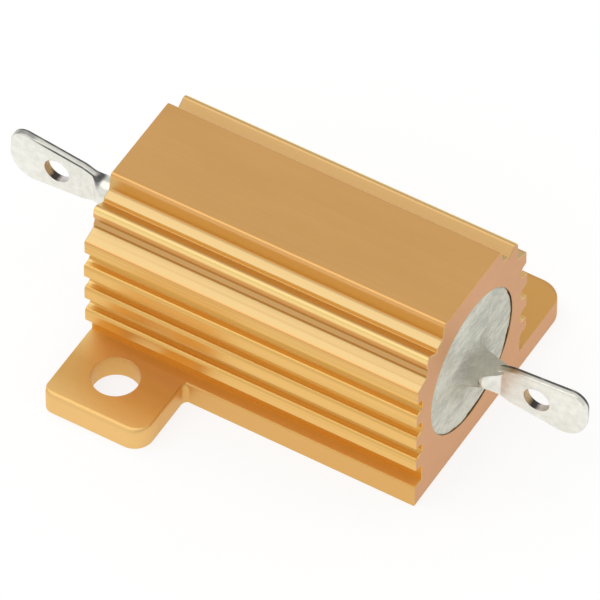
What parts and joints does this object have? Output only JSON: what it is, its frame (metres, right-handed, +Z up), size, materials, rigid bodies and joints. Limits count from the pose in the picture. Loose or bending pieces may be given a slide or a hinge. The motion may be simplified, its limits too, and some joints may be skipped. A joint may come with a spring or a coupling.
{
  "type": "aluminium housed power resistor",
  "caption": "Wirewound power resistor in a finned, gold anodised aluminium housing with diagonal mounting lugs and flat solder tabs.",
  "frame": {"origin": "on the mounting face, midway between the two fixing holes", "axes": "+X along the leads, +Z up from the mounting face, so the lugs are at -X -Y and +X +Y"},
  "size_m": [0.0474, 0.0276, 0.0158],
  "materials": {
    "anodised_housing": "satin gold anodised extrusion",
    "cement_filling": "matte, slightly mottled grey-white cement",
    "ceramic_core": "matte white steatite",
    "resistance_wire": "drawn resistance alloy wire",
    "end_caps": "pressed steel",
    "tinned_terminals": "bright tinned, lightly dimpled by the flattening tool"
  },
  "bodies": {
    "root": {"housing": "anodised_housing", "insulating_filling": "cement_filling", "ceramic_core": "ceramic_core", "resistance_winding": "resistance_wire", "end_cap_left": "end_caps", "end_cap_right": "end_caps", "terminal_left": "tinned_terminals", "terminal_right": "tinned_terminals"}
  },
  "joints": []
}
